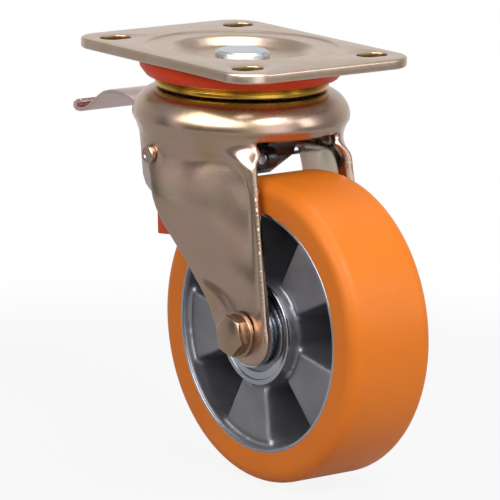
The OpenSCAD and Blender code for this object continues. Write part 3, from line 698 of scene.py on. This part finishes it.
def legSurface(s, z):
    # the leg's outer face: round under the head, then a bowed strip that turns flat at the axle; s runs rear to front
    rearX = legMiddle(z) - legHalf(z) - legFlare(z)
    frontX = legMiddle(z) + legHalf(z) + frontExtra(z)
    x = mix(rearX, frontX, s)
    zTop = max(z, twistTopZ)
    rearY = mix(circleY(legMiddle(zTop) - legHalf(zTop) - legFlare(zTop)), legOut, legTwist(z))
    frontY = mix(fork["frontTop"], legOut, fade(z, legFlatZ - fork["turnDrop"], twistLowZ))
    strip = mix(rearY, frontY, s) + fork["bow"] * 4 * s * (1 - s) * (1 - legTwist(z))
    flatZ = legFlatZ - mix(*fork["flatSpread"], fade(s * 1.3, 0, 1))
    y = mix(circleY(x), strip, fade(z, skirtZ + 1, flatZ))
    return np.array((x, -y))


def panelSink(s, z, length):
    # the pressed panel behind the raised lip of the front edge, down to the crease over the bolt
    p = panel
    fromFront = (1 - s) * length
    front = fade(fromFront, *p["lip"])
    rearWidth = mix(*p["rearWidths"], fade(z, *p["rearChange"]))
    rear = fade(s * length, p["margin"], p["margin"] + rearWidth)
    near = share(fromFront, p["corner"] + p["margin"], p["margin"])
    topEdge = p["top"] - p["corner"] * (1 - math.sqrt(1 - near * near))
    topWidth = mix(*p["topWidths"], fade(s, *p["topChange"]))
    top = fade(z, topEdge, topEdge - topWidth)
    crease = p["crease"] - p["creaseSlope"] * min(s, 0.5)
    creaseWidth = mix(*p["creaseWidths"], fade(s, *p["creaseChange"]))
    low = 1 - fade(z, crease, crease - creaseWidth)
    return p["depth"] * front * rear * top * low * mix(1.0, p["lowShare"], fade(z, *p["lowChange"]))


def legRing(z, side, steps=40):
    length = 2 * legHalf(z) + legFlare(z) + frontExtra(z)
    e, t = min(fork["edge"], length * 0.4), fork["thickness"]
    section = []
    for a, b, start in ((e, e, 180), (length - e, e, 270), (length - e, t - e, 0), (e, t - e, 90)):
        if start == 270:
            section += [(mix(e, length - e, k / steps), 0.0) for k in range(1, steps)]
        if start == 90:
            section += [(mix(length - e, e, k / steps), t) for k in range(1, steps)]
        for k in range(5):
            angle = math.radians(start + 90 * k / 4)
            section.append((a + e * math.cos(angle), b + e * math.sin(angle)))
    ring = []
    for along, depth in section:
        s = along / length
        across = legSurface(min(1, s + 0.02), z) - legSurface(max(0, s - 0.02), z)
        inward = np.array((-across[1], across[0])) / np.linalg.norm(across)
        at = legSurface(s, z) + inward * (depth + panelSink(s, z, length))
        ring.append((at[0], at[1] * side, z))
    return ring


def legMesh(side, rows=76, endRows=16):
    heights = [mix(legStartZ, legEndZ, k / rows) for k in range(rows + 1)]
    # the round end stops just short of its lowest point
    turns = [math.radians(86.0 * k / endRows) for k in range(1, endRows + 1)]
    heights += [legEndZ - fork["legEnd"] * math.sin(a) for a in turns]
    return loftMesh([legRing(z, side) for z in heights])


def headMesh():
    f = fork
    centre = f["headRadius"] - f["shoulder"]
    inner, crease = f["shoulder"] - f["thickness"], f["creaseRadius"]
    outerTurns, innerTurns = np.linspace(0, math.pi / 2, 15), np.linspace(math.pi / 2, 0, 12)
    profile = [(f["bore"], f["headTop"])]
    profile += [(centre + f["shoulder"] * math.sin(a), shoulderZ + f["shoulder"] * math.cos(a)) for a in outerTurns]
    profile += [
        (f["headRadius"] - 0.5, creaseZ + 1), (crease, creaseZ), (crease, skirtZ + 0.6), (crease - 0.6, skirtZ),
        (crease - f["skirtWall"], skirtZ), (crease - f["skirtWall"], creaseZ),
    ]
    profile += [(centre + inner * math.sin(a), shoulderZ + inner * math.cos(a)) for a in innerTurns]
    profile.append((f["bore"], f["headTop"] - f["thickness"]))
    return turnedMesh(profile, steps=180)


def bossMesh(near, far):
    x, z = fork["pivot"]
    bore, radius = fork["bossBore"], fork["bossRadius"]
    return turnedMesh([(bore, near), (radius, near), (radius, far), (bore, far)], "y", (x, 0.0, z), 48)


def makeFork():
    f = fork
    bosses = [bossMesh(-f["bossNear"], -f["bossInner"]), bossMesh(f["bossInner"], f["bossFar"])]
    piece = meshPiece("forkShell", *joinMeshes([headMesh(), legMesh(1), legMesh(-1)] + bosses))
    # turned for the remesh, so that no flat face or straight edge lies along the voxel grid
    turn = Euler(f["gridTurn"]).to_matrix().to_4x4()
    piece.data.transform(turn)
    makeOneSkin(piece, "onePressing", f["voxel"], f["smoothing"])
    piece.data.transform(turn.inverted())
    return piece


forkShell = finishPiece(makeFork(), "fork", "fork", "passivated_steel", finish["passivated"])
print("fork made,", triangleCount(forkShell), "triangles")

pivotBolt = {
    "radius": 4.0, "headRadius": 4.4, "headHeight": 2.4, "recess": 1.7, "recessDepth": 0.5,
    "chamfer": 0.6, "end": 59.2,
}


def makePivotBolt():
    b = pivotBolt
    seat, chamfer = -fork["bossNear"], b["chamfer"]
    face = seat - b["headHeight"]
    recessZ = face + b["recessDepth"]
    profile = rounded([
        (0.0, recessZ, 0), (b["recess"], recessZ, 0.3), (b["recess"] + chamfer, face, 0.3),
        (b["headRadius"] - chamfer, face, 0.3), (b["headRadius"], face + chamfer, 0.3), (b["headRadius"], seat, 0.1),
        (b["radius"], seat, 0), (b["radius"], b["end"] - chamfer, 0.2), (b["radius"] - chamfer, b["end"], 0.2),
        (0.0, b["end"], 0),
    ])
    x, z = fork["pivot"]
    return turnedPiece("pivotBoltTurned", profile, "y", (x, 0.0, z), 64)


finishPiece(makePivotBolt(), "fork", "pivot_bolt", "zinc_steel", finish["passivated"])
addHardware("fork", (
    ("axle_bolt", 0.5, "passivated_steel", "bolt"),
    ("axle_nut", 0.5, "passivated_steel", "bolt"),
    ("axle_washer", 0.3, "passivated_steel", "bolt"),
    ("axle_tube", 0.3, "zinc_steel", "zinc"),
    ("spacer_rings", 0.4, "zinc_steel", "zinc"),
    ("bearing_inner_rings", 0.3, "bearing_steel", "bearing"),
    ("distance_sleeve", 0.3, "zinc_steel", "zinc"),
    ("pivot_nut", 0.4, "zinc_steel", "zinc"),
    ("pivot_sleeve", 0.2, "zinc_steel", "zinc"),
))
addHardware("brake", (
    ("block_rivets", 0.3, "zinc_steel", "zinc"),
    ("lock_arm", 0.8, "black_steel", "black"),
    ("lock_arm_pin", 0.3, "zinc_steel", "zinc"),
    ("brake_block", 0.9, "brake_block", "brakeRed"),
    ("brake_lever", 0.7, "passivated_steel", "lever"),
))
addHardware("wheel", (
    ("bearing_outer_rings", 0.4, "bearing_steel", "bearing"),
    ("bearing_shields", 0.2, "shield_steel", "shield"),
))

# each set of balls: the circle that the centres lie on, and where its rows lie along the axis
balls = {
    "upperBalls": {
        "node": "upper_balls", "body": "fork", "count": 19, "ball": 4.75, "circle": 31.0,
        "rows": (-17.15,), "axis": "z", "centre": (0.0, 0.0, 0.0),
    },
    "lowerBalls": {
        "node": "lower_balls", "body": "fork", "count": 17, "ball": 3.0, "circle": 18.0,
        "rows": (-27.1,), "axis": "z", "centre": (0.0, 0.0, 0.0),
    },
    "wheelBalls": {
        "node": "bearing_balls", "body": "wheel", "count": 8, "ball": 3.95, "circle": 16.86,
        "rows": (-18.49, 18.49), "axis": "y", "centre": axlePlace,
    },
}


def ballTree(axis):
    tree, start, end = geometryTree("ballRing" + axis.upper(), [
        ("Ball Radius", "Float"), ("Circle Radius", "Float"), ("Row", "Float"), ("Balls", "Int"),
        ("Material", "Material"),
    ])
    ball = addNode(tree, "GeometryNodeMeshIcoSphere", {"Subdivisions": 4})
    tree.links.new(start.outputs["Ball Radius"], ball.inputs["Radius"])
    place = addNode(tree, "ShaderNodeCombineXYZ")
    tree.links.new(start.outputs["Circle Radius"], place.inputs["X"])
    tree.links.new(start.outputs["Row"], place.inputs[axis.upper()])
    moved = addNode(tree, "GeometryNodeTransform")
    tree.links.new(ball.outputs["Mesh"], moved.inputs["Geometry"])
    tree.links.new(place.outputs[0], moved.inputs["Translation"])
    return endTree(tree, start, end, ringOfInstances(tree, moved.outputs[0], start.outputs["Balls"], 0.0, axis=axis))


def makeBalls(name, b):
    work = bmesh.new()
    for row in b["rows"]:
        ring = meshPiece(name + "Row", [(0, 0, 0)], [])
        runTree(ring, ballTree(b["axis"]), {
            "Ball Radius": b["ball"] * mm, "Circle Radius": b["circle"] * mm, "Row": row * mm,
            "Balls": b["count"], "Material": finish["bearing"],
        })
        work.from_mesh(ring.data)
        bpy.data.objects.remove(ring)
    piece = addPiece(name, bpy.data.meshes.new(name))
    work.to_mesh(piece.data)
    work.free()
    piece.data.transform(Matrix.Translation(Vector(b["centre"]) * mm))
    shadeByAngle(piece, 60.0)
    finishPiece(piece, b["body"], b["node"], "bearing_steel", finish["bearing"])


for setName, ballSet in balls.items():
    makeBalls(setName, ballSet)

spring = {
    "coil": 7.65, "wire": 1.0, "low": 25.6, "pitch": 2.5, "turns": 2.9, "startAngle": 244.0, "endAngle": 208.0,
    "hook": 10.5, "tail": 6.4, "hookEnd": 21.3, "tailEnd": 49.6, "bend": 1.2, "steps": 70,
}


def springPath():
    # a hook in the lever's cheek, the turns round the pivot and a tail behind the leg
    s = spring
    start, end, bend, steps = s["startAngle"], s["endAngle"], s["bend"], s["steps"]
    high = s["low"] + s["pitch"] * s["turns"]
    path = [(start, s["hookEnd"], -s["hook"]), (start, s["low"] - bend, -s["hook"])]
    path.append((start, s["low"], bend - s["hook"]))
    path += [(start + 360 * s["turns"] * k / steps, mix(s["low"], high, k / steps), 0.0) for k in range(steps + 1)]
    path += [(end, high, s["tail"] - bend), (end, high + bend, s["tail"]), (end, s["tailEnd"], s["tail"])]
    points = []
    for angle, y, along in path:
        a = math.radians(angle)
        x = s["coil"] * math.cos(a) - along * math.sin(a) + fork["pivot"][0]
        z = s["coil"] * math.sin(a) + along * math.cos(a) + fork["pivot"][1]
        points.append((x, y, z))
    return points


def wireTree():
    tree, start, end = geometryTree("bentWire", [("Wire Radius", "Float"), ("Material", "Material")])
    path = addNode(tree, "GeometryNodeMeshToCurve")
    tree.links.new(start.outputs["Geometry"], path.inputs[0])
    section = addNode(tree, "GeometryNodeCurvePrimitiveCircle", {"Resolution": 16})
    tree.links.new(start.outputs["Wire Radius"], section.inputs["Radius"])
    wire = addNode(tree, "GeometryNodeCurveToMesh", {"Fill Caps": True})
    tree.links.new(path.outputs[0], wire.inputs["Curve"])
    tree.links.new(section.outputs[0], wire.inputs["Profile Curve"])
    return endTree(tree, start, end, wire.outputs[0])


def makeSpring():
    mesh = bpy.data.meshes.new("returnSpringWire")
    points = springPath()
    mesh.from_pydata([tuple(c * mm for c in p) for p in points], [(i, i + 1) for i in range(len(points) - 1)], [])
    piece = addPiece("returnSpringWire", mesh)
    runTree(piece, wireTree(), {"Wire Radius": spring["wire"] * mm, "Material": finish["spring"]})
    cleanMesh(piece, 50.0)
    finishPiece(piece, "fork", "return_spring", "spring_steel", finish["spring"])


makeSpring()
print("hardware made")

tyre = {"radius": 75.0, "halfWidth": 25.0, "corner": 7.0, "inner": 59.5}


def makeTyre():
    t = tyre
    profile = rounded([
        (t["inner"], -t["halfWidth"], 0.3), (t["radius"], -t["halfWidth"], t["corner"]),
        (t["radius"], t["halfWidth"], t["corner"]), (t["inner"], t["halfWidth"], 0.3),
    ], 10)
    return turnedPiece("tyreRing", profile, "y", axlePlace, steps=256)


finishPiece(makeTyre(), "wheel", "tyre", "tyre", finish["tyre"])
print("tyre made")

# wheel centre: a turned casting, its deep web pockets cut by a node tree
wheel = {
    "rim": 59.5, "rimRing": 2.0, "face": 25.0, "hub": 26.0, "hubFace": 26.0,
    "bearing": 23.52, "bearingBack": 11.5, "bore": 20.1,
    "sectorFace": 21.5, "trough": 19.1, "innerEdge": 29.0, "outerEdge": 55.3,
    "web": 4.5, "sectors": 5, "first": -100.0,
    "pocketIn": 27.0, "pocketOut": 56.9, "corner": 3.2, "edge": 1.3, "endEdge": 0.4, "draft": 1.5, "floorArc": 2.0,
    "voxel": 1.11, "smoothing": 4,
}
pocketDepth = 2 * wheel["sectorFace"] - wheel["web"]
rimInner = wheel["rim"] - wheel["rimRing"]


def pocketTree():
    tree, start, end = geometryTree("webPockets", [
        ("Pocket", "Object"), ("Sectors", "Int"), ("First Angle", "Float"), ("Material", "Material"),
    ])
    pocket = addNode(tree, "GeometryNodeObjectInfo")
    tree.links.new(start.outputs["Pocket"], pocket.inputs["Object"])
    shape, count, first = pocket.outputs["Geometry"], start.outputs["Sectors"], start.outputs["First Angle"]
    halfStep = mathNode(tree, "DIVIDE", math.pi, count)
    near = ringOfInstances(tree, shape, count, mathNode(tree, "ADD", first, halfStep))
    far = ringOfInstances(tree, shape, count, first, (1.0, -1.0, 1.0))
    flip = addNode(tree, "GeometryNodeFlipFaces")
    tree.links.new(far, flip.inputs["Mesh"])
    cutters = addNode(tree, "GeometryNodeJoinGeometry")
    tree.links.new(near, cutters.inputs[0])
    tree.links.new(flip.outputs[0], cutters.inputs[0])
    cut = addNode(tree, "GeometryNodeMeshBoolean", operation="DIFFERENCE", solver="EXACT")
    tree.links.new(start.outputs["Geometry"], cut.inputs["Mesh 1"])
    tree.links.new(cutters.outputs[0], cut.inputs["Mesh 2"])
    return endTree(tree, start, end, cut.outputs["Mesh"])


def pocketOutline(depth, widen):
    # the pocket's outline this far below the sector face; its walls lean in, so the web keeps its thickness
    w = wheel
    half = math.pi / (2 * w["sectors"])
    offset = w["web"] * depth / (2 * w["sectorFace"]) - widen
    draft, endEdge = w["draft"] * depth / pocketDepth, min(widen, w["endEdge"])
    inner = w["pocketIn"] + draft - endEdge
    outer = w["pocketOut"] - draft + endEdge
    corners = []
    for radius, steps, way in ((inner, 3, 1), (outer, 5, -1)):
        reach = half - math.asin(offset / radius)
        for k in range(steps + 1):
            a = mix(reach, -reach, k / steps) * way
            corners.append((radius * math.cos(a), radius * math.sin(a), w["corner"] if k in (0, steps) else 0))
    return rounded(corners, 5)


def makePocket():
    # levels of (depth, widening): over the face, round the edge, down the wall, round the floor
    edge, arc = wheel["edge"], wheel["floorArc"]
    levels = [(-6.0, edge), (-0.02, edge)]
    levels += [(edge * (1 - math.cos(a)), edge * (1 - math.sin(a))) for a in (0.4, 0.8, 1.2, 1.57)]
    levels += [(pocketDepth * f, 0.0) for f in (0.3, 0.6)]
    levels += [(pocketDepth - arc + arc * math.sin(a), arc * (math.cos(a) - 1)) for a in (0.0, 0.5, 1.0, 1.57)]
    rings = []
    for depth, widen in levels:
        outline = pocketOutline(max(0.0, depth), widen)
        rings.append([(x, depth - wheel["sectorFace"], z) for x, z in outline])
    return meshPiece("pocketShape", *loftMesh(rings))


def castBody():
    # half of the section from the bore to the rim, with its small chamfers, then its mirror
    w = wheel
    rimFace, hubFace = w["face"] - 0.1, w["hubFace"] - 0.1
    side = [
        (w["bore"], w["bearingBack"]), (w["bearing"], w["bearingBack"]), (w["bearing"], hubFace),
        (w["hub"] - 0.1, hubFace), (w["hub"] + 0.5, w["trough"]), (w["innerEdge"] - 0.8, w["trough"]),
        (w["innerEdge"], w["sectorFace"] - 0.5), (w["innerEdge"] + 0.6, w["sectorFace"]),
        (w["outerEdge"] - 0.6, w["sectorFace"]), (w["outerEdge"], w["sectorFace"] - 0.5),
        (w["outerEdge"] + 0.3, w["trough"]), (rimInner - 0.6, w["trough"]),
        (rimInner, rimFace - 0.8), (rimInner + 0.7, rimFace), (w["rim"] - 0.05, rimFace),
    ]
    profile = side + [(radius, -y) for radius, y in side[::-1]]
    return turnedPiece("wheelCasting", profile, "y", steps=200)


def machinedRings():
    # the bright rings of the rim and the hub, on both sides
    w = wheel
    parts = []
    for sign in (-1, 1):
        for inner, outer, face in ((rimInner + 0.5, w["rim"], w["face"]), (w["bearing"], w["hub"], w["hubFace"])):
            foot = face - 1.2
            profile = rounded([(inner, foot, 0), (inner, face, 0.35), (outer, face, 0.25), (outer, foot, 0)], 3)
            parts.append(turnedMesh([(radius, y * sign) for radius, y in profile], "y", axlePlace, 220))
    return meshPiece("machinedRings", *joinMeshes(parts))


def makeWheel():
    w = wheel
    cutter = makePocket()
    piece = castBody()
    runTree(piece, pocketTree(), {
        "Pocket": cutter, "Sectors": w["sectors"], "First Angle": math.radians(w["first"]),
        "Material": finish["castAluminium"],
    })
    bpy.data.objects.remove(cutter)
    piece.data.transform(Matrix.Translation(Vector(axlePlace) * mm))
    makeOneSkin(piece, "oneCasting", w["voxel"], w["smoothing"])
    rings = machinedRings()
    piece.data.materials.clear()
    work = bmesh.new()
    work.from_mesh(piece.data)
    castCount = len(work.faces)
    work.from_mesh(rings.data)
    for i, face in enumerate(work.faces):
        face.material_index = 1 if i >= castCount else 0
    work.to_mesh(piece.data)
    work.free()
    bpy.data.objects.remove(rings)
    return finishPiece(piece, "wheel", "wheel_centre", "cast_aluminium", finish["castAluminium"], finish["machined"])


print("wheel centre made,", triangleCount(makeWheel()), "triangles")

studio = {
    "floorZ": -207.5, "floorRadius": 450.0, "fadeFrom": 260.0, "floorGrey": 0.40, "floorSeen": 0.90,
    "floorMirrored": 0.27, "fill": 0.26,
    # strength of the surroundings in reflections by the angle round the object, 0 toward the camera
    "round": [
        (-180, 0.95), (-150, 0.90), (-118, 0.60), (-102, 0.52), (-96, 0.36), (-91, 0.08), (-83, 0.08),
        (-78, 0.80), (-67, 0.80), (-60, 0.22), (-40, 0.26), (-6, 0.28), (18, 0.90), (27, 1.70), (46, 1.70),
        (60, 0.35), (112, 0.35), (145, 0.90), (180, 0.95),
    ],
    # soft panels: from and to round the object, from and to in height, strength
    "panels": [(-72, 4, 17, 68, 4.6), (16, 60, 26, 78, 2.8)],
    "above": 0.44, "aboveFrom": 22.0, "aboveBlur": 9.0, "blur": 5.0,
}
# place, what it aims at and size in metres, power in watts
lamps = {
    "keyBox": {"place": (1.6, -0.2, 1.45), "aim": (0.0, 0.0, -0.08), "size": (0.8, 0.6), "power": 23.0},
    "leftBox": {"place": (0.55, -1.6, 0.85), "aim": (0.0, 0.0, -0.1), "size": (1.2, 0.8), "power": 11.0},
    "rightBox": {"place": (1.6, 1.2, 0.6), "aim": (0.0, 0.0, -0.1), "size": (0.5, 1.0), "power": 6.0},
    "topBox": {"place": (-0.2, 0.4, 1.6), "aim": (0.0, 0.0, 0.0), "size": (0.9, 0.9), "power": 12.0},
}


def rayKinds(tree):
    # 1 for rays from the camera, and 1 for reflected and refracted rays
    rays = addNode(tree, "ShaderNodeLightPath")
    mirror = mathNode(tree, "MAXIMUM", rays.outputs["Is Glossy Ray"], rays.outputs["Is Transmission Ray"])
    return rays.outputs["Is Camera Ray"], mirror


def softEdge(tree, value, at, blur):
    ends = {"From Min": at - blur, "From Max": at + blur}
    node = addNode(tree, "ShaderNodeMapRange", ends, interpolation_type="SMOOTHSTEP")
    tree.links.new(value, node.inputs["Value"])
    return node.outputs["Result"]


def softRange(tree, value, low, high, blur):
    return mathNode(tree, "SUBTRACT", softEdge(tree, value, low, blur), softEdge(tree, value, high, blur))


def makeStage(steps=96, rings=12):
    # a round floor that takes shadows; what the camera and mirrors see of it fades to white at its edge
    s = studio
    points = [(0.0, 0.0, s["floorZ"])]
    for r in range(1, rings + 1):
        points += [(x, y, s["floorZ"]) for x, y in circlePoints(s["floorRadius"] * r / rings, steps)]
    faces = []
    for k in range(steps):
        n = (k + 1) % steps
        faces.append((0, 1 + k, 1 + n))
        for r in range(rings - 1):
            base = 1 + r * steps
            faces.append((base + k, base + steps + k, base + steps + n, base + n))
    piece = meshPiece("floor", points, faces)
    material, tree, shader = newMaterial("paleFloor")
    setInputs(shader, {"Base Color": (*grey(s["floorGrey"]), 1), "Roughness": 0.8, "Specular IOR Level": 0.1})
    where = addNode(tree, "ShaderNodeTexCoord")
    far = addNode(tree, "ShaderNodeVectorMath", operation="LENGTH")
    tree.links.new(where.outputs["Object"], far.inputs[0])
    start, end = (math.hypot(s[key], s["floorZ"]) * mm for key in ("fadeFrom", "floorRadius"))
    ends = {"From Min": start, "From Max": end, "To Min": s["floorSeen"], "To Max": 1.0}
    whiter = addNode(tree, "ShaderNodeMapRange", ends, interpolation_type="SMOOTHSTEP")
    tree.links.new(far.outputs["Value"], whiter.inputs["Value"])
    camera, mirror = rayKinds(tree)
    seen = mathNode(tree, "MULTIPLY", camera, whiter.outputs["Result"])
    mirrored = mathNode(tree, "MULTIPLY", mirror, s["floorMirrored"])
    glow = addNode(tree, "ShaderNodeEmission", {"Color": (1, 1, 1, 1)})
    blend = addNode(tree, "ShaderNodeMixShader")
    tree.links.new(mathNode(tree, "ADD", seen, mirrored), blend.inputs["Fac"])
    tree.links.new(shader.outputs["BSDF"], blend.inputs[1])
    tree.links.new(glow.outputs["Emission"], blend.inputs[2])
    tree.links.new(blend.outputs["Shader"], tree.nodes["Material Output"].inputs["Surface"])
    piece.data.materials.append(material)


def makeWorld():
    # white to the camera, the round ramp and the panels to mirrors, an even fill to the rest
    s = studio
    world = bpy.data.worlds.new("studio")
    bpy.context.scene.world = world
    world.use_nodes = True
    tree = world.node_tree
    where = addNode(tree, "ShaderNodeTexCoord")
    turn = addNode(tree, "ShaderNodeMapping", {"Rotation": (0, 0, math.radians(90.0 - cameraView["azimuth"]))})
    tree.links.new(where.outputs["Generated"], turn.inputs["Vector"])
    split = addNode(tree, "ShaderNodeSeparateXYZ")
    tree.links.new(turn.outputs["Vector"], split.inputs["Vector"])
    degrees = 180.0 / math.pi
    angle = mathNode(tree, "MULTIPLY", mathNode(tree, "ARCTAN2", split.outputs["Y"], split.outputs["X"]), degrees)
    height = mathNode(tree, "MULTIPLY", mathNode(tree, "ARCSINE", split.outputs["Z"], 0.0), degrees)
    turned = mathNode(tree, "ADD", mathNode(tree, "DIVIDE", angle, 360.0), 0.5)
    # the ramp holds half of each strength, because its colours end at 1
    low = ramp(tree, turned, [((at + 180) / 360, grey(strength / 2)) for at, strength in s["round"]])
    upper = softEdge(tree, height, s["aboveFrom"], s["aboveBlur"])
    lower = mathNode(tree, "SUBTRACT", 1.0, upper)
    mirrored = mathNode(tree, "MULTIPLY", mathNode(tree, "MULTIPLY", low, 2.0), lower)
    mirrored = mathNode(tree, "ADD", mirrored, mathNode(tree, "MULTIPLY", upper, s["above"]))
    for left, right, bottom, top, strength in s["panels"]:
        across = softRange(tree, angle, left, right, s["blur"])
        patch = mathNode(tree, "MULTIPLY", across, softRange(tree, height, bottom, top, s["blur"]))
        mirrored = mathNode(tree, "ADD", mirrored, mathNode(tree, "MULTIPLY", patch, strength))
    camera, mirror = rayKinds(tree)
    other = mathNode(tree, "SUBTRACT", mathNode(tree, "SUBTRACT", 1.0, mirror), camera)
    strength = mathNode(tree, "MULTIPLY", other, s["fill"])
    strength = mathNode(tree, "ADD", strength, mathNode(tree, "MULTIPLY", mirror, mirrored))
    back = tree.nodes["Background"]
    tree.links.new(mathNode(tree, "ADD", strength, camera), back.inputs["Strength"])
    setInputs(back, {"Color": (1, 1, 1, 1)})


def addLamp(name, lamp):
    data = bpy.data.lights.new(name, "AREA")
    data.shape = "RECTANGLE"
    data.size, data.size_y = lamp["size"]
    data.energy = lamp["power"]
    box = addPiece(name, data)
    direction = Vector(lamp["aim"]) - Vector(lamp["place"])
    box.rotation_euler = direction.to_track_quat("-Z", "Y").to_euler()
    box.location = lamp["place"]


makeStage()
makeWorld()
for lampName, lampRow in lamps.items():
    addLamp(lampName, lampRow)
bpy.context.scene.view_settings.view_transform = "Standard"
print("stage and light made")
